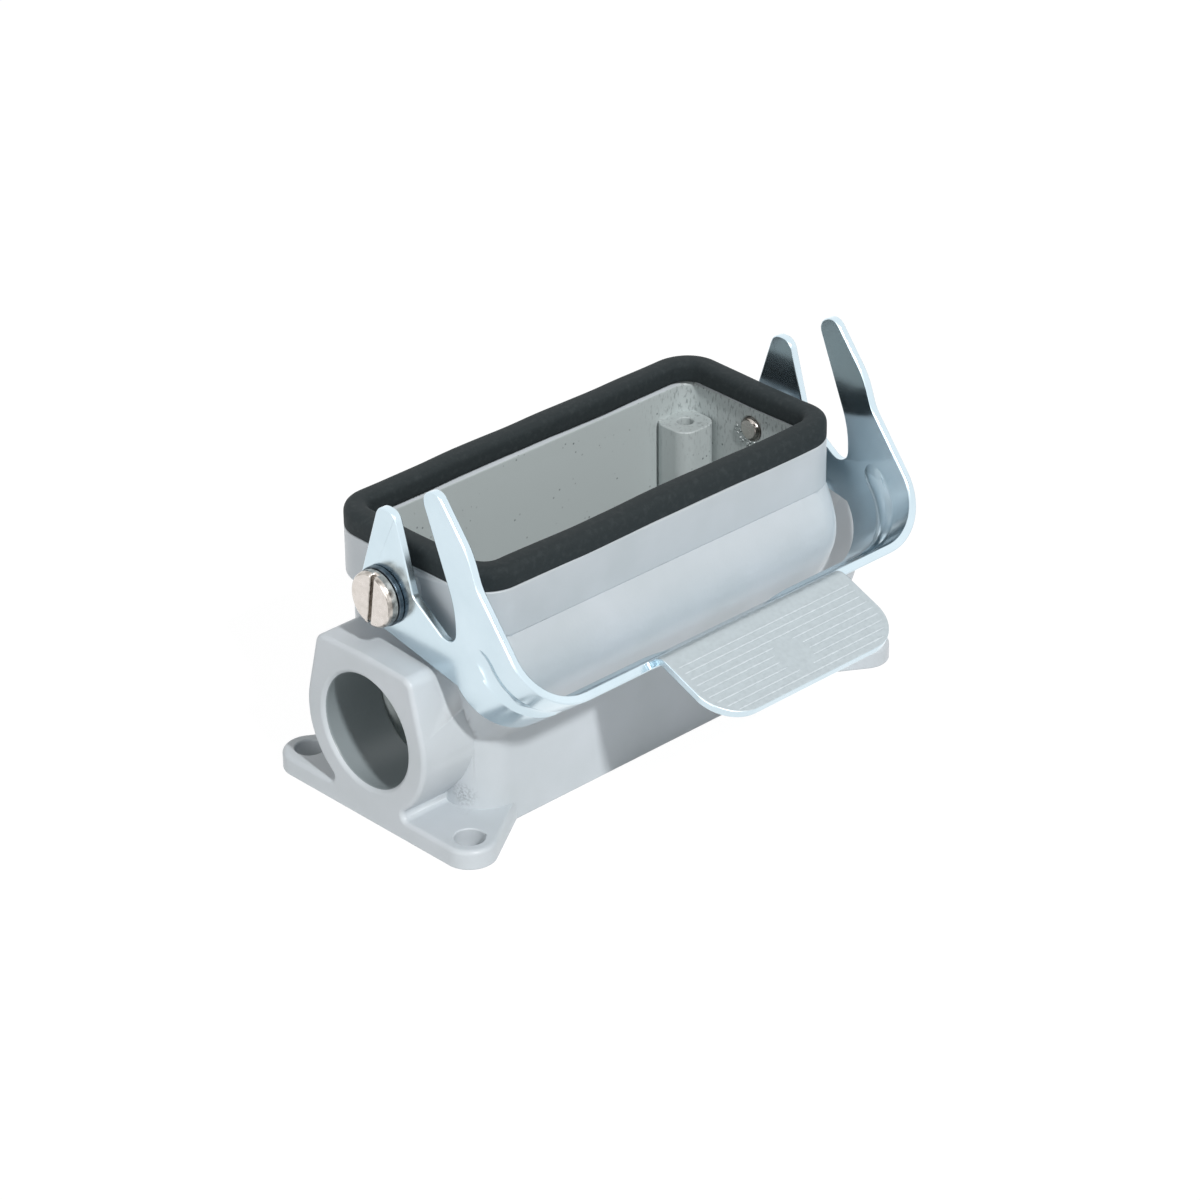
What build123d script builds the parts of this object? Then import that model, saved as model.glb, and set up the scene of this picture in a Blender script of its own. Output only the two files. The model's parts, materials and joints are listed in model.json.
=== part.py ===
"""Surface-mounting housing of a heavy duty rectangular connector, size 16, with one locking lever.

Millimetres. The origin is the centre of the four mounting holes on the underside of the flange.
+X runs along the housing, away from the open cable entry. -Y is the side of the lever's handle.
+Z is up, along the way a hood is plugged on.
"""
from build123d import *
from math import cos, radians, sin
import os

# Mounting pattern and flange
hole_pitch_x = 105.0
hole_pitch_y = 45.0
mounting_hole_r = 2.9
ear_r = 5.2
flange_thickness = 4.0
end_edge_round = 1.0
pad_root_x = 37.8

# Die-cast body and collar
housing_height = 50.5
body_half_width = 19.3
side_wall = 1.9
end_wall = 3.4
floor_thickness = 3.0
collar_half_length = 46.9
collar_corner_r = 8.0
collar_height = 9.5
collar_overhang = 2.2

# Belly of the front wall, its section measured from the body's side and down from the collar's foot
belly_bulge = 5.2
belly_peak_drop = 9.3
belly_foot_drop = 22.5
belly_head_inset = 0.3
belly_sections = 5
belly_foot_direction = (0.35, 1)
belly_head_direction = (-0.5, 1)

# Cavity that takes the contact insert
insert_screw_pitch_x = 77.5
insert_screw_pitch_y = 27.0
insert_seat_depth = 6.4
cavity_corner_r = 3.5
rim_chamfer = 0.8
pillar_half = 4.6
pillar_corner_r = 3.0
insert_tap_r = 1.65
insert_tap_depth = 12.0

# Cable entry bosses, one bored through and one left blank
entry_drop = 26.6
entry_bore_r = 11.5
entry_lip_chamfer = 0.7
blank_wall = 3.2
boss_r = 16.3
boss_shoulder_y = 10.9
boss_shoulder_drop = 0.3
boss_shoulder_r = 2.5
boss_foot_r = 1.2
boss_web_half_width = 5.5

# Gasket on the collar
gasket_height = 4.5
gasket_wall = 4.6
gasket_outer_round = 1.2
gasket_inner_chamfer = 0.6

# Pivot screws, their washers, and the bosses that carry them
pivot_drop = 5.0
pivot_boss_r = 4.9
pivot_boss_height = 3.2
thread_r = 2.5
thread_clearance = 0.05
thread_end_chamfer = 0.5
thread_proud = 0.9
shoulder_r = 3.6
shoulder_clearance = 0.05
face_clearance = 0.1
washer_r = 5.8
washer_thickness = 1.0
washer_gap = 0.8
washer_gap_tilt = 25.0
head_r = 5.5
head_thickness = 2.3
head_chamfer = 0.5
driver_slot_width = 0.9
driver_slot_depth = 1.2
driver_slot_tilt = 8.0

# Locking lever, bent from one sheet
sheet = 1.6
bend_outer_r = 12.2
strip_tilt = 36.8
strip_width = 18.2
tab_half_width = 23.6
tab_length = 16.8
tab_root_step = 1.5
tab_dip = 22.0
tab_bend_inner_r = 1.2
tab_corner_r = 8.0
relief_r = 0.9
bead_r = 4.0
bead_depth = 0.75
bead_from_front = 7.9
bead_run_up = 3.8
bead_run_up_fade = 2.0
bead_end_x = 12.6
bead_end_fade = 4.8

# Corners of a forked arm in side view, from the pivot, each with the radius that rounds it
heel, heel_r = (8.7, -5.55), 6.7
rear_tip_back = (0.85, 18.0)
rear_tip_slot = (-3.6, 18.0)
rear_tip_r = 2.5
slot_elbow, slot_elbow_r = (-8.05, 2.6), 2.0
slot_toe, slot_toe_r = (-19.4, -5.2), 2.5
slot_knee, slot_knee_r = (-19.35, 4.4), 20.0
front_tip_slot = (-11.0, 24.65)
front_tip_edge = (-15.2, 26.9)
front_tip_r = 2.4
front_bulge, front_bulge_r = (-23.2, 16.8), 14.0
front_kink, front_kink_r = (-25.4, 10.7), 8.0
neck_front = (-34.0, -0.3)

# Worked out from the sizes above
end_x = hole_pitch_x / 2 + ear_r
collar_half_width = body_half_width + collar_overhang
collar_foot_z = housing_height - collar_height
cavity_half_length = collar_half_length - end_wall
cavity_half_width = body_half_width - side_wall
pillar_top_z = housing_height - insert_seat_depth
belly_reach = body_half_width + belly_bulge
pivot_z = housing_height - pivot_drop
entry_z = pivot_z - entry_drop
pivot_boss_x = collar_half_length + pivot_boss_height
arm_inner_x = pivot_boss_x + face_clearance
arm_outer_x = arm_inner_x + sheet
washer_x = arm_outer_x + face_clearance
head_x = washer_x + washer_thickness
end_view = Plane(origin=(0, 0, 0), x_dir=(0, 1, 0), z_dir=(1, 0, 0))
pivot_view = Plane(origin=(0, 0, pivot_z), x_dir=(0, 1, 0), z_dir=(1, 0, 0))
down_strip = Vector(0, -sin(radians(strip_tilt)), -cos(radians(strip_tilt)))
across_strip = Vector(0, cos(radians(strip_tilt)), -sin(radians(strip_tilt)))
strip_plane = Plane(pivot_view.from_local_coords(Vector(*neck_front)), x_dir=(1, 0, 0), z_dir=across_strip)
pick_tolerance = 0.01


def rounded_block(half_x, half_y, corner_r, z0, z1):
    """Upright block with rounded corners in plan."""
    plan = Plane.XY.offset(z0) * RectangleRounded(2 * half_x, 2 * half_y, corner_r)
    return extrude(plan, z1 - z0)


def rounded_taper(half_x, half_y, corner_r, z0, z1, spread):
    """Rounded block whose sides lean out by the spread between its two levels."""
    low = Plane.XY.offset(z0) * RectangleRounded(2 * half_x, 2 * half_y, corner_r)
    high = Plane.XY.offset(z1) * RectangleRounded(
        2 * (half_x + spread), 2 * (half_y + spread), corner_r + spread
    )
    return loft([low.face(), high.face()])


def four_corners(x, y, z):
    """Places at the four corners of a hole pattern."""
    return [Pos(side_x * x, side_y * y, z) for side_x in (-1, 1) for side_y in (-1, 1)]


def boss_outline():
    """End view of a cable entry boss: round below, flat on top, with a filleted foot on the flange."""
    barrel = Edge.make_circle(boss_r, Plane((0, entry_z, 0)))
    shoulder_z = entry_z + boss_r - boss_shoulder_drop - boss_shoulder_r
    shoulders = [
        Edge.make_circle(boss_shoulder_r, Plane((side * boss_shoulder_y, shoulder_z, 0))) for side in (-1, 1)
    ]
    base = Pos(0, flange_thickness / 2) * Rectangle(2 * boss_r, flange_thickness)
    above_ground = Pos(0, shoulder_z) * Rectangle(4 * boss_r, 2 * shoulder_z)
    web = Pos(0, entry_z / 2) * Rectangle(2 * boss_web_half_width, entry_z)
    outline = base + web + (make_hull([barrel] + shoulders) & above_ground)
    feet = [
        corner for corner in outline.vertices()
        if abs(corner.Y - flange_thickness) < pick_tolerance and abs(corner.X) < boss_r - pick_tolerance
    ]
    return fillet(feet, boss_foot_r)


def housing_end():
    """Flange pad with two ears and the cable entry boss that stands on it, at the +X end."""
    ears = [
        Edge.make_circle(ear_r, Plane((hole_pitch_x / 2, side * hole_pitch_y / 2, 0))) for side in (-1, 1)
    ]
    root = Edge.make_line((pad_root_x, -body_half_width, 0), (pad_root_x, body_half_width, 0))
    pad = extrude(make_hull(ears + [root]), flange_thickness)
    root_x = (cavity_half_length + collar_half_length) / 2
    boss = extrude(end_view.offset(root_x) * boss_outline(), end_x - root_x)
    block = pad + boss
    above_pad = block.edges().filter_by(lambda edge: edge.center().Z > flange_thickness - pick_tolerance)
    return fillet(above_pad.filter_by(lambda edge: on_end_face(edge) or on_pad_rim(edge)), end_edge_round)


def on_end_face(edge):
    """Whether an edge lies in the flat outer end of the pad and its boss."""
    return abs(edge.bounding_box().min.X - end_x) < pick_tolerance


def on_pad_rim(edge):
    """Whether an edge belongs to the upper rim of the flange pad, beside the body."""
    box = edge.bounding_box()
    level = abs(box.min.Z - flange_thickness) + abs(box.max.Z - flange_thickness) < pick_tolerance
    return level and edge.center().X > pad_root_x + pick_tolerance and abs(edge.center().Y) > body_half_width


def belly():
    """Bulged front wall: the body's outline, lofted up a smooth curve from the body's side to the collar."""
    foot_z = collar_foot_z - belly_foot_drop
    bulge = Spline(
        (body_half_width, foot_z),
        (belly_reach, collar_foot_z - belly_peak_drop),
        (collar_half_width - belly_head_inset, collar_foot_z),
        tangents=[belly_foot_direction, (0, 1), belly_head_direction],
    )
    levels = [bulge @ (step / (belly_sections - 1)) for step in range(belly_sections)]
    outlines = [
        Plane.XY.offset(level.Y) * RectangleRounded(2 * collar_half_length, 2 * level.X, collar_corner_r)
        for level in levels
    ]
    swell = loft([outline.face() for outline in outlines])
    front_half = Box(
        2 * collar_half_length, belly_reach, collar_foot_z, align=(Align.CENTER, Align.MAX, Align.MIN)
    )
    return swell & front_half


def pillars():
    """Four pillars in the cavity's corners that carry the insert."""
    post = extrude(RectangleRounded(2 * pillar_half, 2 * pillar_half, pillar_corner_r), pillar_top_z)
    return Part() + [
        place * post for place in four_corners(insert_screw_pitch_x / 2, insert_screw_pitch_y / 2, 0)
    ]


def outer_body():
    """Solid outside form: body, flared collar, belly, end blocks and pivot bosses."""
    body = rounded_block(collar_half_length, body_half_width, collar_corner_r, 0, collar_foot_z)
    body += rounded_taper(
        collar_half_length - collar_overhang,
        body_half_width,
        collar_corner_r - collar_overhang,
        collar_foot_z - collar_overhang,
        collar_foot_z,
        collar_overhang,
    )
    body += rounded_block(
        collar_half_length, collar_half_width, collar_corner_r, collar_foot_z, housing_height
    )
    pivot_boss = extrude(
        pivot_view.offset(cavity_half_length) * Circle(pivot_boss_r), pivot_boss_x - cavity_half_length
    )
    end = housing_end() + pivot_boss
    return body + belly() + end + mirror(end, about=Plane.YZ)


def cavity():
    """Space for the contact insert and its wires, chamfered at the rim, around the four pillars."""
    space = rounded_block(
        cavity_half_length, cavity_half_width, cavity_corner_r, floor_thickness, housing_height
    )
    space += rounded_taper(
        cavity_half_length,
        cavity_half_width,
        cavity_corner_r,
        housing_height - rim_chamfer,
        housing_height,
        rim_chamfer,
    )
    return space - pillars()


def cable_bores():
    """Bore through the boss at -X with a chamfered lip, and the blind core in the boss at +X."""
    entry = end_view.offset(-end_x) * Pos(0, entry_z)
    bore = extrude(entry * Circle(entry_bore_r), end_x - cavity_half_length)
    lip = extrude(entry * Circle(entry_bore_r + entry_lip_chamfer), entry_lip_chamfer, taper=45)
    blank_start = end_view.offset(cavity_half_length) * Pos(0, entry_z)
    blank = extrude(blank_start * Circle(entry_bore_r), end_x - blank_wall - cavity_half_length)
    return bore + lip + blank


def housing():
    """The one-piece die casting."""
    body = outer_body() - cavity() - cable_bores()
    for place in four_corners(hole_pitch_x / 2, hole_pitch_y / 2, flange_thickness / 2):
        body -= place * Cylinder(mounting_hole_r, 2 * flange_thickness)
    tap_z = pillar_top_z - insert_tap_depth / 2
    for place in four_corners(insert_screw_pitch_x / 2, insert_screw_pitch_y / 2, tap_z):
        body -= place * Cylinder(insert_tap_r, insert_tap_depth)
    return body - extrude(pivot_view * Circle(thread_r + thread_clearance), pivot_boss_x, both=True)


def gasket():
    """Rubber ring that sits on the collar's rim."""
    ring = extrude(
        Plane.XY.offset(housing_height) * (
            RectangleRounded(2 * collar_half_length, 2 * collar_half_width, collar_corner_r)
            - RectangleRounded(
                2 * (collar_half_length - gasket_wall),
                2 * (collar_half_width - gasket_wall),
                collar_corner_r - gasket_wall,
            )
        ),
        gasket_height,
    )
    ring = fillet(ring.faces().sort_by(Axis.Z)[-1].outer_wire().edges(), gasket_outer_round)
    return chamfer(ring.faces().sort_by(Axis.Z)[-1].inner_wires()[0].edges(), gasket_inner_chamfer)


def pivot_screw():
    """Slotted shoulder screw at the +X end: the lever turns on its shoulder."""
    head = extrude(pivot_view.offset(head_x) * Circle(head_r), head_thickness)
    head = chamfer(head.faces().sort_by(Axis.X)[-1].edges(), head_chamfer)
    slot = pivot_view.offset(head_x + head_thickness - driver_slot_depth) * (
        Rot(0, 0, driver_slot_tilt) * Rectangle(driver_slot_width, 4 * head_r)
    )
    head -= extrude(slot, driver_slot_depth)
    shoulder = extrude(pivot_view.offset(pivot_boss_x) * Circle(shoulder_r), head_x - pivot_boss_x)
    inner_x = cavity_half_length - thread_proud
    thread = extrude(pivot_view.offset(inner_x) * Circle(thread_r), pivot_boss_x - inner_x)
    thread = chamfer(thread.faces().sort_by(Axis.X)[0].edges(), thread_end_chamfer)
    return head + shoulder + thread


def spring_washer():
    """Split spring washer between the arm and the head of the +X screw."""
    ring = Circle(washer_r) - Circle(shoulder_r + shoulder_clearance)
    split = Rot(0, 0, washer_gap_tilt) * Pos(0, washer_r) * Rectangle(washer_gap, 2 * washer_r)
    return extrude(pivot_view.offset(washer_x) * (ring - split), washer_thickness)


def arm_outline():
    """Side view of a forked arm: an eye, two prongs with a slot between them, and the lever's neck."""
    neck_rear = pivot_view.to_local_coords(strip_plane.origin + across_strip * strip_width)
    corners = [
        (heel, heel_r),
        (rear_tip_back, rear_tip_r),
        (rear_tip_slot, rear_tip_r),
        (slot_elbow, slot_elbow_r),
        (slot_toe, slot_toe_r),
        (slot_knee, slot_knee_r),
        (front_tip_slot, front_tip_r),
        (front_tip_edge, front_tip_r),
        (front_bulge, front_bulge_r),
        (front_kink, front_kink_r),
        (neck_front, 0),
        ((neck_rear.X, neck_rear.Y), 0),
    ]
    outline = FilletPolyline(
        [point for point, _ in corners], radius=[corner_r for _, corner_r in corners], close=True
    )
    return make_face(outline.edges())


def strip_band(half, depth, rise):
    """Area inside the bent strip's path: two legs that rise up the arms, two bends and the crossbar."""
    path = FilletPolyline((-half, -rise), (-half, depth), (half, depth), (half, -rise), radius=depth)
    return make_face(path.edges() + [Line(path @ 1, path @ 0)])


def crossbar():
    """Strip across the front that joins the two arms through a bend at each end."""
    outer = strip_band(arm_outer_x, bend_outer_r, sheet)
    inner = strip_band(arm_inner_x, bend_outer_r - sheet, sheet)
    bar = extrude(strip_plane * (outer - inner), strip_width)
    front_edge = Plane(
        origin=strip_plane.origin + down_strip * bend_outer_r, x_dir=(1, 0, 0), z_dir=down_strip
    )
    for side in (-1, 1):
        hole = front_edge * Pos(side * (tab_half_width + relief_r / 2), 0) * Circle(relief_r)
        bar -= extrude(hole, 2 * sheet, both=True)
    return bar


def handle_tab():
    """Thumb tab, bent down from the crossbar's front edge."""
    turn = strip_tilt + tab_dip
    along = Vector(cos(radians(turn)), -sin(radians(turn)))
    with BuildLine() as outline:
        inner = CenterArc((0, -tab_bend_inner_r), tab_bend_inner_r, 90 - turn, turn)
        outer = CenterArc((0, -tab_bend_inner_r), tab_bend_inner_r + sheet, 90 - turn, turn)
        Polyline(inner @ 1, (-2 * tab_root_step, 0), (-2 * tab_root_step, sheet), outer @ 1)
        Polyline(outer @ 0, outer @ 0 + along * tab_length, inner @ 0 + along * tab_length, inner @ 0)
    bend_start = strip_plane.origin + down_strip * bend_outer_r - across_strip * tab_root_step
    root = Plane(origin=bend_start, x_dir=-across_strip, z_dir=(-1, 0, 0))
    tab = extrude(root * make_face(outline.edges()), tab_half_width, both=True)
    through_edges = tab.edges().filter_by(lambda edge: abs(edge.length - sheet) < pick_tolerance)
    return fillet(through_edges.sort_by(Axis.Y)[:2], tab_corner_r)


def bend_bead(section_r):
    """Round bar along the +X bend, sunk into the strip's outer face and fading out at both ends."""
    stand_off = bead_r - bead_depth
    half = arm_outer_x + stand_off
    depth = bend_outer_r + stand_off
    path = strip_plane.offset(bead_from_front) * FilletPolyline(
        (half + bead_depth, -bead_run_up),
        (half, bead_run_up_fade - bead_run_up),
        (half, depth),
        (bead_end_x + bead_end_fade, depth),
        (bead_end_x, depth + bead_depth),
        radius=[depth / 2, depth, 2 * depth],
    )
    return sweep((path ^ 0) * Circle(section_r), path=path)


def locking_lever():
    """Both arms, the crossbar and the thumb tab, one piece of sheet."""
    arm = extrude(pivot_view.offset(arm_inner_x) * arm_outline(), sheet)
    inside = extrude(strip_plane * strip_band(arm_outer_x, bend_outer_r, 2 * bead_run_up), strip_width)
    ridge = bend_bead(bead_r + sheet) & inside
    groove = bend_bead(bead_r)
    bore = pivot_view * Circle(shoulder_r + shoulder_clearance)
    lever = crossbar() + handle_tab() + arm + mirror(arm, about=Plane.YZ)
    lever += ridge + mirror(ridge, about=Plane.YZ)
    lever -= groove + mirror(groove, about=Plane.YZ)
    return lever - extrude(bore, arm_outer_x, both=True)


def mirrored_pair(shape, name):
    """Write the piece at the +X end and its mirror image at the other end."""
    export_step(shape, f"parts/right_{name}.step")
    export_step(mirror(shape, about=Plane.YZ), f"parts/left_{name}.step")


os.makedirs("parts", exist_ok=True)
export_step(housing(), "parts/housing.step")
export_step(gasket(), "parts/gasket.step")
export_step(locking_lever(), "parts/locking_lever.step")
mirrored_pair(pivot_screw(), "pivot_screw")
mirrored_pair(spring_washer(), "spring_washer")
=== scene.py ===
# %% [markdown]
# # Dressing a die-cast connector housing
#
# The object is the fixed half of a heavy duty rectangular connector. A painted die casting is
# screwed to a machine, a rubber ring seals its rim, and a bent steel lever swings over a plugged-in
# hood and locks it. The solids come from the CAD model, in metres, and stay where they are. This
# notebook gives them their finish, adds the small relief that a casting or a pressed sheet has, and
# sets the light and the camera.

# %% Load the frame
import json
import math

import bmesh
import bpy
import numpy as np
from mathutils import Matrix, Vector


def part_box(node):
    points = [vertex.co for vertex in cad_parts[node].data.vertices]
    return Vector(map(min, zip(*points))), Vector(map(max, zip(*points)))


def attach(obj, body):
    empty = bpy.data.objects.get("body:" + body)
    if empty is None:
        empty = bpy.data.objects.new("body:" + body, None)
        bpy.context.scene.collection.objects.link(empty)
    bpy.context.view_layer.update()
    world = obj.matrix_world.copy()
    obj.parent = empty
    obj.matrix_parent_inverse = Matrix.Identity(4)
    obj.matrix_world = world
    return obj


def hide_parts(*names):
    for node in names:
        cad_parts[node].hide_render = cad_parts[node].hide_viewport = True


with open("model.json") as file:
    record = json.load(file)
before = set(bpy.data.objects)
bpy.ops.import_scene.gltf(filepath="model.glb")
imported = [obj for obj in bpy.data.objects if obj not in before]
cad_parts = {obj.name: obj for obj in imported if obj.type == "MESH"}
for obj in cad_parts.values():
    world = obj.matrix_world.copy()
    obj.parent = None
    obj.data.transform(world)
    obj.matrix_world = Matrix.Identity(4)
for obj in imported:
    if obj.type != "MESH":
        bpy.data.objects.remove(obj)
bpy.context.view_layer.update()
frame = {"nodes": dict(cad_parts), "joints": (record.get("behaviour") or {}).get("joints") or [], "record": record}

MM = 0.001
nodes = frame["nodes"]
print("pieces:", ", ".join(sorted(nodes)))

# %% [markdown]
# ## Helpers for materials
#
# A colour picked from a picture is an sRGB hex value, and the renderer works with linear light, so
# one function turns the first into the second. A material is a small graph of nodes. Writing a graph
# by hand takes many lines, so a second function adds one node, types its numbers in and connects
# whatever is passed as an output socket.


# %% Colour and node helpers
def linear(hex_colour):
    """Linear RGBA of an sRGB hex colour: each channel is undone by the 2.4 power curve."""
    channels = np.array([int(hex_colour[i:i + 2], 16) for i in (1, 3, 5)]) / 255
    low, high = channels / 12.92, ((channels + 0.055) / 1.055) ** 2.4
    return (*np.where(channels <= 0.04045, low, high).tolist(), 1.0)


def add_node(tree, kind, inputs=None, **settings):
    """Add one node; settings are its own fields, inputs its sockets, each a value or an output."""
    node = tree.nodes.new(kind)
    for field, value in settings.items():
        setattr(node, field, value)
    for socket, value in (inputs or {}).items():
        if isinstance(value, bpy.types.NodeSocket):
            tree.links.new(value, node.inputs[socket])
        else:
            node.inputs[socket].default_value = value
    return node


def new_material(name):
    """An empty node material with its Principled shader, and the object coordinates to pattern it."""
    material = bpy.data.materials.new(name)
    material.use_nodes = True
    tree = material.node_tree
    shader = tree.nodes["Principled BSDF"]
    place = add_node(tree, "ShaderNodeTexCoord").outputs["Object"]
    return material, tree, shader, place


def dress(piece, material):
    """Give a piece one material for all its faces."""
    piece.data.materials.clear()
    piece.data.materials.append(material)


print("paint grey in linear light:", [round(value, 3) for value in linear("#C2C9CE")[:3]])

# %% [markdown]
# ## Helpers for pieces
#
# Bent sheet, castings and turned heads never end in a razor edge. A CAD piece arrives as loose
# triangles, so a copy is welded, its flat areas are merged and its outward edges are rounded by a
# fraction of a millimetre. Subdividing the copy would soften its flat faces too, so a Bevel modifier
# does the rounding, and only on the edges that are marked for it.

# %% Piece helpers
pivot_centre = frame["joints"][0]["pos_m"]


def new_piece(name, mesh, body, stands_for=()):
    """Put a mesh in the scene as a piece that rides on a body, and hide the CAD piece it stands for."""
    piece = bpy.data.objects.new(name, mesh)
    bpy.context.scene.collection.objects.link(piece)
    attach(piece, body)
    if stands_for:
        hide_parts(stands_for)
    return piece


def softened(name, node, body, width, turn=0.0):
    """Copy of a CAD piece, turned about the pivots, with outward edges over 40 degrees rounded."""
    weld, flat, sharp = 0.05 * MM, math.radians(1), math.radians(40)
    work = bmesh.new()
    work.from_mesh(nodes[node].data)
    bmesh.ops.remove_doubles(work, verts=work.verts, dist=weld)
    bmesh.ops.dissolve_degenerate(work, dist=weld, edges=work.edges)
    bmesh.ops.dissolve_limit(work, angle_limit=flat, verts=work.verts, edges=work.edges)
    pivot = Matrix.Translation(Vector(pivot_centre))
    about_pivots = pivot @ Matrix.Rotation(turn, 4, "X") @ pivot.inverted()
    bmesh.ops.transform(work, matrix=about_pivots, verts=work.verts)
    outward = [float(edge.is_convex and edge.calc_face_angle(0) > sharp) for edge in work.edges]
    mesh = bpy.data.meshes.new(name)
    work.to_mesh(mesh)
    work.free()
    mesh.attributes.new("bevel_weight_edge", "FLOAT", "EDGE").data.foreach_set("value", outward)
    mesh.shade_smooth()
    mesh.set_sharp_from_angle(angle=math.radians(28))
    piece = new_piece(name, mesh, body, node)
    edge = piece.modifiers.new("rounded edges", "BEVEL")
    edge.width, edge.segments, edge.limit_method, edge.use_clamp_overlap = width, 2, "WEIGHT", False
    shading = piece.modifiers.new("flat areas keep their normals", "WEIGHTED_NORMAL")
    shading.mode, shading.weight, shading.keep_sharp = "FACE_AREA", 100, True
    return piece


print("edges to soften on", len(nodes), "pieces, pivots at", pivot_centre)

# %% [markdown]
# ## Where the paint is thin, and where shade is painted
#
# The housing is cast in aluminium and powder coated. Sprayed powder reaches badly into a hollow, so
# the coat is thin and a little green in the cavity. In the cable entry the coat is darkened as painted
# shade. Each place is a mask, 1 inside and 0 outside, worked out from the object coordinates, so it
# holds for any mesh. The entry's place comes from its mount. A mask reaches a skin's depth into the
# wall, so that the wall's own face lies inside it.

# %% Masks of the cavity and the bore
skin = 0.1 * MM
cavity_half = (43.5 * MM + skin, 17.4 * MM + skin)
entry = next(mount for mount in frame["record"]["mounts"] if mount["name"] == "cable_entry")


def cavity_mask(tree, axes):
    """1 inside the cavity: |x| is under half its length and |y| under half its width."""
    within = []
    for axis, half in zip("XY", cavity_half):
        size = add_node(tree, "ShaderNodeMath", {0: axes.outputs[axis]}, operation="ABSOLUTE").outputs[0]
        near = add_node(tree, "ShaderNodeMath", {0: size, 1: half}, operation="LESS_THAN")
        within.append(near.outputs[0])
    return add_node(
        tree, "ShaderNodeMath", {0: within[0], 1: within[1]}, operation="MULTIPLY"
    ).outputs["Value"]


def bore_painted_shade_mask(tree, place, axes):
    """1 in the bore, where shade is painted: nearer to its axis than its radius, and further to -X than the
    cavity.
    """
    bore_z, bore_r = entry["pos_m"][2], entry["dims"]["r_mm"] * MM + skin
    from_axis = add_node(tree, "ShaderNodeVectorMath", {0: place, 1: (0, 0, -bore_z)}, operation="ADD")
    across = add_node(
        tree, "ShaderNodeVectorMath", {0: from_axis.outputs["Vector"], 1: (0, 1, 1)},
        operation="MULTIPLY",
    )
    radius = add_node(tree, "ShaderNodeVectorMath", {0: across.outputs["Vector"]}, operation="LENGTH")
    narrow = add_node(
        tree, "ShaderNodeMath", {0: radius.outputs["Value"], 1: bore_r}, operation="LESS_THAN"
    )
    at_entry = add_node(
        tree, "ShaderNodeMath", {0: axes.outputs["X"], 1: -cavity_half[0]}, operation="LESS_THAN"
    )
    return add_node(
        tree, "ShaderNodeMath", {0: narrow.outputs[0], 1: at_entry.outputs[0]}, operation="MULTIPLY"
    ).outputs["Value"]


print("the cavity's mask reaches, in mm:", [round(half / MM, 1) for half in cavity_half])

# %% [markdown]
# ## Marks of the casting
#
# Dark marks left by the casting come through the coat in three places: pits in the cavity, drawn
# grain high on its right end, and grit in the corners beside the bosses. Pits are spots round the
# centres of Voronoi cells, drawn grain is noise stretched upward, and grit is finer noise. Each is
# again a mask, now with soft edges, multiplied by the place where it shows.

# %% Masks of pits and drawn grain
pit_spacing, pit_radius = 1.7 * MM, 0.13 * MM


def pit_mask(tree, place, patches, inside):
    """Pits: spots round the centres of cells, let through where the patches are high, in the cavity."""
    cells = add_node(tree, "ShaderNodeTexVoronoi", {"Vector": place, "Scale": 1 / pit_spacing})
    spots = add_node(
        tree, "ShaderNodeMapRange",
        {"Value": cells.outputs["Distance"], "From Min": pit_radius / pit_spacing,
         "From Max": 2.2 * pit_radius / pit_spacing, "To Min": 1.0, "To Max": 0.0},
    )
    let_through = add_node(
        tree, "ShaderNodeMapRange", {"Value": patches, "From Min": 0.5, "From Max": 0.6}
    )
    pits = spots.outputs["Result"]
    for share in (let_through.outputs["Result"], inside):
        pits = add_node(
            tree, "ShaderNodeMath", {0: pits, 1: share}, operation="MULTIPLY"
        ).outputs["Value"]
    return pits


def scour_mask(tree, place, axes, inside):
    """Drawn grain: noise stretched upward, growing towards the cavity's top at +X."""
    grain_size = (0.5 * MM, 0.5 * MM, 1.4 * MM)
    grows_over = {"X": (28 * MM, 42 * MM), "Z": (35 * MM, 46 * MM)}
    drawn = add_node(
        tree, "ShaderNodeVectorMath", {0: place, 1: tuple(1 / size for size in grain_size)},
        operation="MULTIPLY",
    )
    streaks = add_node(
        tree, "ShaderNodeTexNoise", {"Vector": drawn.outputs["Vector"], "Scale": 1.0, "Detail": 5.0}
    )
    dark = add_node(
        tree, "ShaderNodeMapRange",
        {"Value": streaks.outputs["Fac"], "From Min": 0.53, "From Max": 0.66, "To Max": 0.8},
    )
    shares = [
        add_node(
            tree, "ShaderNodeMapRange",
            {"Value": axes.outputs[axis], "From Min": start, "From Max": full},
        ).outputs["Result"]
        for axis, (start, full) in grows_over.items()
    ]
    scour = dark.outputs["Result"]
    for share in (*shares, inside):
        scour = add_node(
            tree, "ShaderNodeMath", {0: scour, 1: share}, operation="MULTIPLY"
        ).outputs["Value"]
    return scour


print("pits in a square centimetre, at most:", round((10 * MM / pit_spacing) ** 2))

# %% [markdown]
# Grit gathers where the foot of a boss runs into the side wall, at both ends and on both sides. The
# coordinates are folded by their absolute values, so one corner stands for all four. The patches are
# added to the distance from that corner, which makes the edge of the gritty area ragged.

# %% Mask of grit
grit_corner = (47.3 * MM, 15.2 * MM, 7 * MM)


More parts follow.
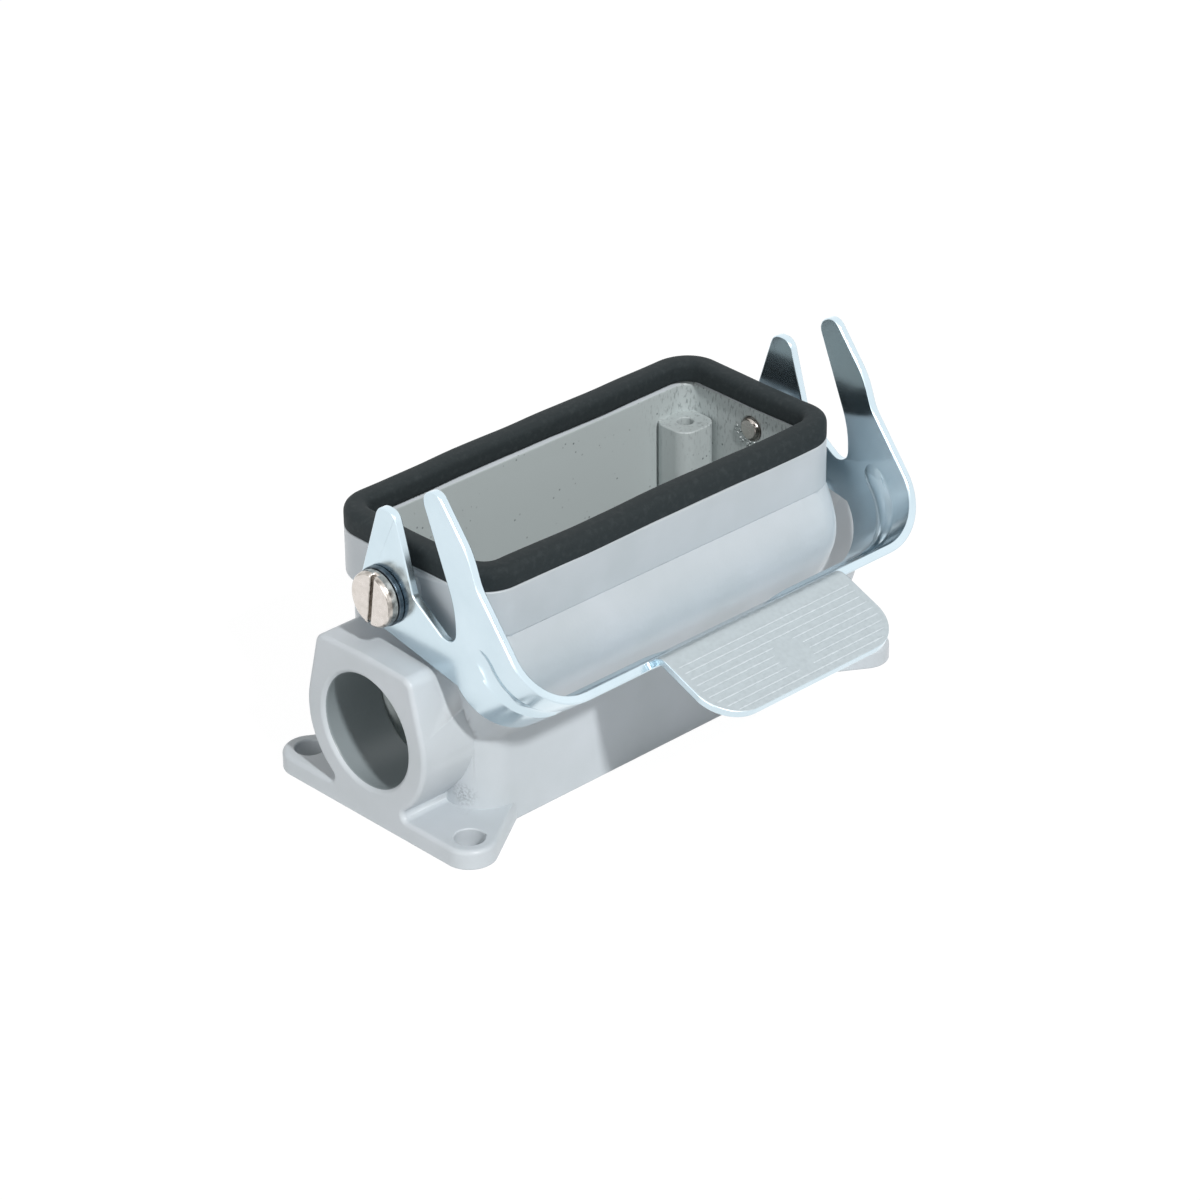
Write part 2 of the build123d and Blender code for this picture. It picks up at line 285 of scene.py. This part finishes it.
def grit_mask(tree, place, patches):
    """Grit: fine noise, where distance to the corner + 2 reach * patches is small."""
    reach, grain_size = 3.8 * MM, 0.5 * MM
    folded = add_node(tree, "ShaderNodeVectorMath", {0: place}, operation="ABSOLUTE")
    distance = add_node(
        tree, "ShaderNodeVectorMath", {0: folded.outputs["Vector"], 1: grit_corner},
        operation="DISTANCE",
    )
    ragged = add_node(
        tree, "ShaderNodeMath", {0: patches, 1: 2 * reach, 2: distance.outputs["Value"]},
        operation="MULTIPLY_ADD",
    )
    beside = add_node(
        tree, "ShaderNodeMapRange",
        {"Value": ragged.outputs["Value"], "From Min": reach, "From Max": 2 * reach,
         "To Min": 1.0, "To Max": 0.0},
    )
    grains = add_node(
        tree, "ShaderNodeTexNoise", {"Vector": place, "Scale": 1 / grain_size, "Detail": 4.0}
    )
    dark = add_node(
        tree, "ShaderNodeMapRange",
        {"Value": grains.outputs["Fac"], "From Min": 0.42, "From Max": 0.6, "To Max": 0.65},
    )
    return add_node(
        tree, "ShaderNodeMath", {0: dark.outputs["Result"], 1: beside.outputs["Result"]},
        operation="MULTIPLY",
    ).outputs["Value"]


print("grit gathers round, in mm:", [round(value / MM, 1) for value in grit_corner])

# %% [markdown]
# ## Powder coat
#
# The coat is a melted grey powder with a soft sheen and a faint orange peel. Noise 0.7 mm wide makes
# the peel. A slow noise shifts the tone a little from place to place, as the coat's thickness does.
# The masks tint the coat one after the other, and the pits are sunk into its relief as well.


# %% Powder coat
def powder_coat():
    """Light grey powder coat, half gloss with orange peel; thin, greener and pitted in the cavity, with painted
    shade in the cable entry.
    """
    peel_size, tone_size, patch_size = 0.7 * MM, 14 * MM, 6 * MM
    material, tree, shader, place = new_material("powder_coat_light_grey")
    tone = add_node(
        tree, "ShaderNodeTexNoise", {"Vector": place, "Scale": 1 / tone_size, "Detail": 3.0}
    )
    coat = add_node(tree, "ShaderNodeValToRGB", {"Fac": tone.outputs["Fac"]})
    for stop, at, tint in zip(coat.color_ramp.elements, (0.3, 0.7), ("#BDC4C8", "#C6CCD1")):
        stop.position, stop.color = at, linear(tint)

    axes = add_node(tree, "ShaderNodeSeparateXYZ", {"Vector": place})
    patches = add_node(
        tree, "ShaderNodeTexNoise", {"Vector": place, "Scale": 1 / patch_size, "Detail": 3.0}
    ).outputs["Fac"]
    inside = cavity_mask(tree, axes)
    pits = pit_mask(tree, place, patches, inside)
    colour = coat.outputs["Color"]
    for mask, tint in (
        # The bore's tint is painted shade: the cable entry is darkened.
        (bore_painted_shade_mask(tree, place, axes), "#868F92"),
        (inside, "#BAC2C2"),
        (scour_mask(tree, place, axes, inside), "#7E8587"),
        (grit_mask(tree, place, patches), "#70767A"),
        (pits, "#70787A"),
    ):
        colour = add_node(
            tree, "ShaderNodeMix", {"Factor": mask, "A": colour, "B": linear(tint)}, data_type="RGBA"
        ).outputs["Result"]

    peel = add_node(
        tree, "ShaderNodeTexNoise", {"Vector": place, "Scale": 1 / peel_size, "Detail": 2.0}
    )
    relief = add_node(
        tree, "ShaderNodeMath", {0: pits, 1: -1.5, 2: peel.outputs["Fac"]}, operation="MULTIPLY_ADD"
    )
    bump = add_node(
        tree, "ShaderNodeBump",
        {"Height": relief.outputs["Value"], "Distance": 0.02 * MM, "Strength": 0.6},
    )
    tree.links.new(colour, shader.inputs["Base Color"])
    tree.links.new(bump.outputs["Normal"], shader.inputs["Normal"])
    shader.inputs["Roughness"].default_value = 0.42
    shader.inputs["IOR"].default_value = 1.5
    return material


paint = powder_coat()
casting = softened("painted_casting", "housing", "housing", 0.25 * MM)
dress(casting, paint)
print(casting.name, "has", len(casting.data.polygons), "faces before its edges are rounded")

# %% [markdown]
# ## Rubber of the seal
#
# The ring on the rim is moulded nitrile rubber, nearly black and matt. Its real grain is only
# hundredths of a millimetre wide, so it is drawn coarser to show at all. A second noise lets a little
# pale dust settle on it.


# %% Rubber
def nitrile_rubber():
    """Black nitrile rubber: dielectric, rough, with a fine grain and a little settled dust."""
    grain_size, dust_size = 0.35 * MM, 1.2 * MM
    material, tree, shader, place = new_material("nitrile_rubber_black")
    grain = add_node(
        tree, "ShaderNodeTexNoise", {"Vector": place, "Scale": 1 / grain_size, "Detail": 4.0}
    )
    tone = add_node(tree, "ShaderNodeValToRGB", {"Fac": grain.outputs["Fac"]})
    tone.color_ramp.elements[0].color = linear("#22282A")
    tone.color_ramp.elements[1].color = linear("#2B3234")
    bump = add_node(
        tree, "ShaderNodeBump",
        {"Height": grain.outputs["Fac"], "Distance": 0.02 * MM, "Strength": 0.5},
    )
    dust = add_node(
        tree, "ShaderNodeTexNoise", {"Vector": place, "Scale": 1 / dust_size, "Detail": 6.0}
    )
    settled = add_node(
        tree, "ShaderNodeMapRange",
        {"Value": dust.outputs["Fac"], "From Min": 0.5, "From Max": 0.72, "To Max": 0.14},
    )
    colour = add_node(
        tree, "ShaderNodeMix",
        {"Factor": settled.outputs["Result"], "A": tone.outputs["Color"], "B": linear("#555B5D")},
        data_type="RGBA",
    )
    tree.links.new(colour.outputs["Result"], shader.inputs["Base Color"])
    tree.links.new(bump.outputs["Normal"], shader.inputs["Normal"])
    shader.inputs["Roughness"].default_value = 0.75
    shader.inputs["IOR"].default_value = 1.52
    shader.inputs["Specular IOR Level"].default_value = 0.2
    return material


rubber = nitrile_rubber()
print("rubber:", rubber.name)

# %% [markdown]
# ## Shape of the seal
#
# The ring is pushed into place by hand, so it sways a little along its way: its section, a rectangle
# with each corner cut by a curve, is carried round the rim and moved outward and upward by a few slow
# waves. It is worked out as a grid of points, with one row per station along the rim and one column
# per point of the section. Its outer size is that of the solid that it stands for.


# %% Seal ring
def grid_mesh(name, points, closed_path):
    """Mesh of an array (stations, section points, 3): quads between loops, capped ends if open."""
    stations, loop = points.shape[:2]
    here = np.arange(stations if closed_path else stations - 1)[:, None] * loop
    ahead = (here + loop) % (stations * loop)
    side, next_side = np.arange(loop), (np.arange(loop) + 1) % loop
    quads = np.stack([here + side, ahead + side, ahead + next_side, here + next_side], axis=-1)
    faces = quads.reshape(-1, 4).tolist()
    if not closed_path:
        faces += [side.tolist(), (side[::-1] + (stations - 1) * loop).tolist()]
    mesh = bpy.data.meshes.new(name)
    mesh.from_pydata(points.reshape(-1, 3).tolist(), [], faces)
    mesh.shade_smooth()
    return mesh


def curved_corners(corners, reach, steps):
    """Loop with each corner C cut by (1-t)^2 A + 2t(1-t) C + t^2 B, A and B a reach away from C."""
    corners, reach = np.array(corners, float), np.array(reach, float)[:, None]
    back, ahead = np.roll(corners, 1, 0) - corners, np.roll(corners, -1, 0) - corners
    start = corners + reach * back / np.linalg.norm(back, axis=1, keepdims=True)
    end = corners + reach * ahead / np.linalg.norm(ahead, axis=1, keepdims=True)
    t = np.linspace(0, 1, steps)[None, :, None]
    bends = (1 - t) ** 2 * start[:, None] + 2 * t * (1 - t) * corners[:, None] + t ** 2 * end[:, None]
    return bends.reshape(-1, 2)


def rim_path(half_x, half_y, corner_r, arc_steps, side_steps):
    """Corner centres and outward directions along a rounded rectangle, counterclockwise."""
    centres = np.array([(1, 1), (-1, 1), (-1, -1), (1, -1)]) * (half_x - corner_r, half_y - corner_r)
    turn = np.arange(4)[:, None] * np.pi / 2 + np.linspace(0, np.pi / 2, arc_steps)
    share = np.linspace(0, 1, side_steps)[1:-1, None]
    sides = centres[:, None] * (1 - share) + np.roll(centres, -1, 0)[:, None] * share
    centre = np.concatenate([np.repeat(centres[:, None], arc_steps, 1), sides], 1).reshape(-1, 2)
    angle = np.concatenate([turn, np.repeat(turn[:, -1:], side_steps - 2, 1)], 1).ravel()
    return centre, np.stack([np.cos(angle), np.sin(angle)], 1)


def seal_ring():
    """Rubber ring: point = corner centre + (r - inward + sway) outward, raised by height + lift."""
    (_, _, base), (half_x, half_y, top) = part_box("gasket")
    height, wall, corner_r = top - base, 4.6 * MM, 8.0 * MM
    section = curved_corners(
        [(0, 0), (0, height), (wall, height), (wall, 0)], np.array([0.4, 1.9, 1.6, 1.3]) * MM, 8
    )
    centre, outward = rim_path(half_x, half_y, corner_r, 20, 90)
    track = centre + outward * corner_r
    step = np.linalg.norm(np.roll(track, -1, 0) - track, axis=1)
    phase = 2 * np.pi * np.cumsum(step) / step.sum()
    sway = 0.17 * np.sin(5 * phase + 0.8) + 0.05 * np.sin(11 * phase + 2.1) + 0.02 * np.sin(23 * phase)
    sway = sway * MM
    upper_half = (section[:, 1] > height / 2)[:, None]
    lift = (0.07 * np.sin(7 * phase + 1.9) + 0.03 * np.sin(13 * phase)) * MM * upper_half
    plan = centre[:, None] + outward[:, None] * (corner_r - section[:, 0] + sway[:, None])[..., None]
    level = base + section[:, 1] + lift.T
    return grid_mesh("seal_ring", np.concatenate([plan, level[..., None]], axis=-1), closed_path=True)


seal = new_piece("seal_ring", seal_ring(), "housing", "gasket")
dress(seal, rubber)
print(seal.name, "has", len(seal.data.polygons), "faces")

# %% [markdown]
# ## Plated metals
#
# Three platings are side by side here: blue-white zinc on the lever, warm nickel on the screws and a
# dark blued finish on the spring washers. All are metals, so the colour tints the reflection, and
# the roughness decides how sharp the surroundings look in it. Zinc over smooth sheet is a cool, soft
# mirror. Where the sheet was brushed it turns grey and even. The ribs get a lighter zinc, a painted
# highlight along them. The turned sides of the screws are scuffed, and their tint swings between dark
# and light patches, which are partly painted reflection.


# %% Platings
def plating(name, dark, light, roughness, roll_size, depth):
    """Metal plating whose tint wanders between two hex colours, over a fine rolled relief."""
    material, tree, shader, place = new_material(name)
    cloud = add_node(
        tree, "ShaderNodeTexNoise", {"Vector": place, "Scale": 1 / roll_size, "Detail": 3.0}
    )
    tint = add_node(tree, "ShaderNodeValToRGB", {"Fac": cloud.outputs["Fac"]})
    for stop, at, shade in zip(tint.color_ramp.elements, (0.3, 0.7), (dark, light)):
        stop.position, stop.color = at, linear(shade)
    spread = add_node(
        tree, "ShaderNodeMapRange",
        {"Value": cloud.outputs["Fac"], "From Min": 0.3, "From Max": 0.7,
         "To Min": 0.8 * roughness, "To Max": 1.2 * roughness},
    )
    bump = add_node(
        tree, "ShaderNodeBump",
        {"Height": cloud.outputs["Fac"], "Distance": depth, "Strength": 0.5},
    )
    tree.links.new(tint.outputs["Color"], shader.inputs["Base Color"])
    tree.links.new(spread.outputs["Result"], shader.inputs["Roughness"])
    tree.links.new(bump.outputs["Normal"], shader.inputs["Normal"])
    shader.inputs["Metallic"].default_value = 1.0
    return material


zinc = plating("blue_zinc_plate", "#BACAD2", "#C2D1D9", 0.2, 9 * MM, 0.02 * MM)
brushed = plating("brushed_zinc_plate", "#A3ACB0", "#ACB5B9", 0.42, 0.8 * MM, 0.02 * MM)
# Rib zinc: lighter than the tab's face, a painted highlight along the ribs.
rib_highlight_zinc = plating("zinc_plate_painted_rib_highlight", "#B1BABE", "#BDC5C9", 0.38, 0.8 * MM, 0.02 * MM)
nickel = plating("nickel_plate", "#BFB9B3", "#CCC6C1", 0.25, 1.2 * MM, 0.01 * MM)
# Scuffed nickel: its dark and light patches are partly painted reflection.
scuffs_and_painted_reflections = plating("nickel_plate_scuffs_and_painted_reflections", "#6A655F", "#CCC7C1", 0.22, 1.6 * MM, 0.05 * MM)
blued = plating("blued_spring_steel", "#39434B", "#5A666F", 0.3, 1.5 * MM, 0.01 * MM)
print("plated:", zinc.name, brushed.name, rib_highlight_zinc.name, nickel.name, scuffs_and_painted_reflections.name, blued.name)

# %% [markdown]
# ## Lever, screws and washers
#
# The lever is punched and bent from sheet, so its cut faces meet the flat ones in a small burnished
# round that catches the light. The face of the thumb tab is brushed and has its own material, picked
# by the direction its faces look in and how far out they lie. The flat ends of the screws are plain
# nickel, and the rest of them is scuffed, with dark and light patches that are partly painted
# reflection.


# %% Metal pieces
# The tab's upper face dips by 22 degrees. It starts here, and runs along the first direction.
tab_start = Vector((0, -44.28, 37.96)) * MM
tab_begins_y = -41.5 * MM
tab_along, tab_normal = Vector((0, -0.927, -0.375)), Vector((0, -0.375, 0.927))


def faces_towards(mesh, direction, least):
    """Which faces look in a direction: normal . direction > least."""
    normals = np.empty(3 * len(mesh.polygons), np.float32)
    mesh.polygons.foreach_get("normal", normals)
    return normals.reshape(-1, 3) @ np.array(direction, np.float32) > least


def faces_beyond(mesh, axis, limit):
    """Which faces have their centre below a limit along an axis: centre[axis] < limit."""
    centres = np.empty(3 * len(mesh.polygons), np.float32)
    mesh.polygons.foreach_get("center", centres)
    return centres.reshape(-1, 3)[:, axis] < limit


def dress_part(piece, material, chosen):
    """Give the chosen faces of a piece a second material."""
    piece.data.materials.append(material)
    piece.data.polygons.foreach_set("material_index", chosen.astype(np.int32))


lever = softened("lever_sheet", "locking_lever", "lever", 0.22 * MM)
dress(lever, zinc)
tab_face = faces_towards(lever.data, tab_normal, 0.6) & faces_beyond(lever.data, 1, tab_begins_y)
dress_part(lever, brushed, tab_face)
for side in ("left", "right"):
    screw = softened(f"{side}_screw", f"{side}_pivot_screw", "housing", 0.3 * MM)
    # The screw's sides carry scuffs and painted reflection.
    dress(screw, scuffs_and_painted_reflections)
    across = faces_towards(screw.data, (1, 0, 0), 0.9) | faces_towards(screw.data, (-1, 0, 0), 0.9)
    dress_part(screw, nickel, across)
    washer = softened(
        f"{side}_washer", f"{side}_spring_washer", "housing", 0.15 * MM,
        turn=math.radians(150),
    )
    dress(washer, blued)
print("lever has", len(lever.data.polygons), "faces before its edges are rounded")

# %% [markdown]
# ## Ribs on the thumb tab
#
# Fine ribs are pressed into the tab so that a thumb doesn't slip. Each is a bar of half-elliptic
# section, and its height falls to nothing at both ends. The rows follow the rounded tip of the tab,
# and they stop around a plain round spot in its middle.


# %% Tab ribs
def joined(name, many):
    """One mesh of several open-ended grids, each as in grid_mesh, with its faces turned outward."""
    work = bmesh.new()
    for points in many:
        work.from_mesh(grid_mesh(name, points, closed_path=False))
    bmesh.ops.recalc_face_normals(work, faces=work.faces)
    mesh = bpy.data.meshes.new(name)
    work.to_mesh(mesh)
    work.free()
    return mesh


def tab_ribs():
    """Ribs: across = w/2 cos a, height = h sin a above the face and a shallow root below it."""
    width, height, root = 0.38 * MM, 0.1 * MM, 0.05 * MM
    pitch, first, count = 1.63 * MM, 2.27 * MM, 9
    half, length, corner_r, margin = 23.6 * MM, 16.8 * MM, 8.0 * MM, 1.3 * MM
    spot_row, spot_r = 10.2 * MM, 3.9 * MM
    rows = first + pitch * np.arange(count)
    past = np.maximum(rows - (length - corner_r), 0)
    reach = half - corner_r - margin + np.sqrt(np.maximum(corner_r ** 2 - past ** 2, 0))
    gap = np.sqrt(np.maximum(spot_r ** 2 - (rows - spot_row) ** 2, 0))
    split = gap > 0
    begin = np.concatenate([-reach[split], gap[split], -reach[~split]])
    end = np.concatenate([-gap[split], reach[split], reach[~split]])
    row = np.concatenate([rows[split], rows[split], rows[~split]])
    share = (1 - np.cos(np.linspace(0, np.pi, 60))) / 2
    along = begin[:, None] + (end - begin)[:, None] * share
    nearest = np.minimum(along - begin[:, None], end[:, None] - along)
    fade = 0.03 + 0.97 * np.sqrt(np.clip(nearest / (0.8 * MM), 0, 1))
    wear = 0.85 + 0.15 * np.sin(along / MM * 1.7 + row[:, None] / MM * 5)
    turn = np.linspace(0, 2 * np.pi, 12, endpoint=False)
    across = width / 2 * np.cos(turn) * fade[..., None]
    reach_up = np.where(np.sin(turn) > 0, height * wear[..., None], root)
    rise = reach_up * np.sin(turn) * fade[..., None]
    down = (row[:, None, None] + across)[..., None] * np.array(tab_along)
    points = np.array(tab_start) + down + rise[..., None] * np.array(tab_normal)
    points[..., 0] += along[..., None]
    return joined("tab_ribs", points)


ribs = new_piece("tab_ribs", tab_ribs(), "lever")
# The ribs' lighter zinc is a painted highlight.
dress(ribs, rib_highlight_zinc)
print(ribs.name, "has", len(ribs.data.polygons), "faces")

# %% [markdown]
# ## Burrs where the screw breaks through
#
# The tap that cut the +X thread left bright crumbs of bare metal on the cavity's wall, in a crescent
# below the end of the screw. Each crumb is a ball flattened against the wall.


# %% Burrs
def burrs():
    """Crumbs: centre + size (0.5 cos v, sin v cos u, sin v sin u), half of each sunk in the wall."""
    count, wall_x, (_, pivot_y, pivot_z) = 26, 43.5 * MM, pivot_centre
    chance = np.random.default_rng(7)
    angle = np.radians(chance.uniform(255, 350, count))
    reach = chance.uniform(2.9, 4.9, count) * MM
    centre = np.stack(
        [np.full(count, wall_x), pivot_y + reach * np.cos(angle), pivot_z + reach * np.sin(angle)], 1
    )
    size = chance.uniform(0.16, 0.42, count) * MM
    pole = np.linspace(0.05, np.pi - 0.05, 9)[:, None]
    around = np.linspace(0, 2 * np.pi, 12, endpoint=False)
    ring = np.sin(pole)
    ball = np.stack([0.5 * np.cos(pole) + 0 * around, ring * np.cos(around), ring * np.sin(around)], -1)
    return joined("thread_burrs", centre[:, None, None] + size[:, None, None, None] * ball)


crumbs = new_piece("thread_burrs", burrs(), "housing")
bare = plating("bare_cast_metal", "#7C8484", "#D3D8D8", 0.35, 0.8 * MM, 0.05 * MM)
dress(crumbs, bare)
print(crumbs.name, "has", len(crumbs.data.polygons), "faces")

# %% [markdown]
# ## Floor, light and camera
#
# The picture is a product shot on pure white. The floor and the world are white to the camera and in
# reflections, and keep a moderate level for the light they throw. Part of the floor stays ordinary
# paper, so that the object's shadow still shows on it.


# %% Floor and world
def ray_level(tree, levels):
    """Largest of level * (1 where the ray is of that kind, else 0), for kinds such as Is Camera Ray."""
    rays = add_node(tree, "ShaderNodeLightPath").outputs
    highest = 0.0
    for kind, level in levels.items():
        part = add_node(tree, "ShaderNodeMath", {0: rays[kind], 1: level}, operation="MULTIPLY")
        highest = add_node(
            tree, "ShaderNodeMath", {0: part.outputs[0], 1: highest}, operation="MAXIMUM"
        ).outputs[0]
    return highest


def white_floor():
    """Floor that throws soft light like pale paper, and that the camera and reflections see as white."""
    material, tree, shader, _ = new_material("studio_paper")
    shader.inputs["Base Color"].default_value = linear("#D2D2D2")
    shader.inputs["Roughness"].default_value = 0.9
    strengths = {"Is Camera Ray": 1.1, "Is Glossy Ray": 1.4, "Is Transmission Ray": 1.1}
    share = ray_level(tree, dict.fromkeys(strengths, 0.88))
    strength = ray_level(tree, strengths)
    glow = add_node(tree, "ShaderNodeEmission", {"Color": (1, 1, 1, 1), "Strength": strength})
    mix = add_node(tree, "ShaderNodeMixShader", {0: share, 1: shader.outputs[0], 2: glow.outputs[0]})
    tree.links.new(mix.outputs[0], tree.nodes["Material Output"].inputs["Surface"])
    return material


floor_half = 3.0
corners = [(x * floor_half, y * floor_half, 0) for x, y in ((-1, -1), (1, -1), (1, 1), (-1, 1))]
floor_mesh = bpy.data.meshes.new("floor")
floor_mesh.from_pydata(corners, [], [(0, 1, 2, 3)])
floor = bpy.data.objects.new("floor", floor_mesh)
bpy.context.scene.collection.objects.link(floor)
dress(floor, white_floor())

world = bpy.data.worlds.new("studio")
bpy.context.scene.world = world
world.use_nodes = True
sky = world.node_tree
seen = ray_level(sky, {"Is Camera Ray": 1.0, "Is Glossy Ray": 1.4, "Is Transmission Ray": 1.0})
level = add_node(sky, "ShaderNodeMath", {0: seen, 1: 0.28}, operation="MAXIMUM")
sky.links.new(level.outputs[0], sky.nodes["Background"].inputs["Strength"])
sky.nodes["Background"].inputs["Color"].default_value = (1, 1, 1, 1)
print("floor and world are white to the camera")

# %% [markdown]
# A small bright key stands in front and above, as the sharp shadow under the lever's tab shows, and a
# broad fill comes from the left.


# %% Lamps
def aim(direction):
    """Rotation that turns a lamp's beam, its -Z axis, along a direction."""
    return Vector(direction).to_track_quat("-Z", "Y").to_euler()


key_from = Vector((-0.25, -1.0, 0.91))
key = bpy.data.objects.new("key", bpy.data.lights.new("key", "SUN"))
key.data.energy = 2.25
key.data.angle = math.radians(3.5)
key.rotation_euler = aim(-key_from)
bpy.context.scene.collection.objects.link(key)

fill_from = Vector((-1.0, -0.15, 0.25)).normalized()
fill_distance, fill_size = 0.8, 0.6
fill = bpy.data.objects.new("fill", bpy.data.lights.new("fill", "AREA"))
fill.data.shape, fill.data.size = "DISK", fill_size
fill.data.energy = 1.8
fill.location = fill_from * fill_distance
fill.rotation_euler = aim(-fill_from)
bpy.context.scene.collection.objects.link(fill)
print("lamps:", key.name, fill.name)

# %% [markdown]
# The camera looks from the left front, from above, through a long lens. Its place is given by the
# point it aims at, two angles, a slight roll and the distance. Its focal length is in pixels of a
# frame 1200 pixels wide, which the sensor's width turns into millimetres.

# %% Camera
azimuth, elevation, roll = (math.radians(angle) for angle in (-43.52, 28.88, -0.59))
target, distance = Vector((17.77, 16.23, 11.00)) * MM, 858.75 * MM
focal_px, frame_px, sensor_mm = 4347.88, 1200, 36.0
level_right = Vector((math.cos(azimuth), math.sin(azimuth), 0))
level_back = Vector((math.sin(azimuth), -math.cos(azimuth), 0))
back = math.cos(elevation) * level_back + Vector((0, 0, math.sin(elevation)))
level_up = back.cross(level_right)
right = math.cos(roll) * level_right + math.sin(roll) * level_up
up = -math.sin(roll) * level_right + math.cos(roll) * level_up
camera = bpy.data.objects.new("camera", bpy.data.cameras.new("camera"))
camera.data.sensor_width = sensor_mm
camera.data.lens = focal_px / frame_px * sensor_mm
camera.data.clip_start, camera.data.clip_end = 0.01, 20
turn = Matrix((right, up, back)).transposed().to_4x4()
camera.matrix_world = Matrix.Translation(target + back * distance) @ turn
bpy.context.scene.collection.objects.link(camera)
bpy.context.scene.camera = camera
bpy.context.scene.view_settings.view_transform = "Standard"
print("camera lens in mm:", round(camera.data.lens, 2))
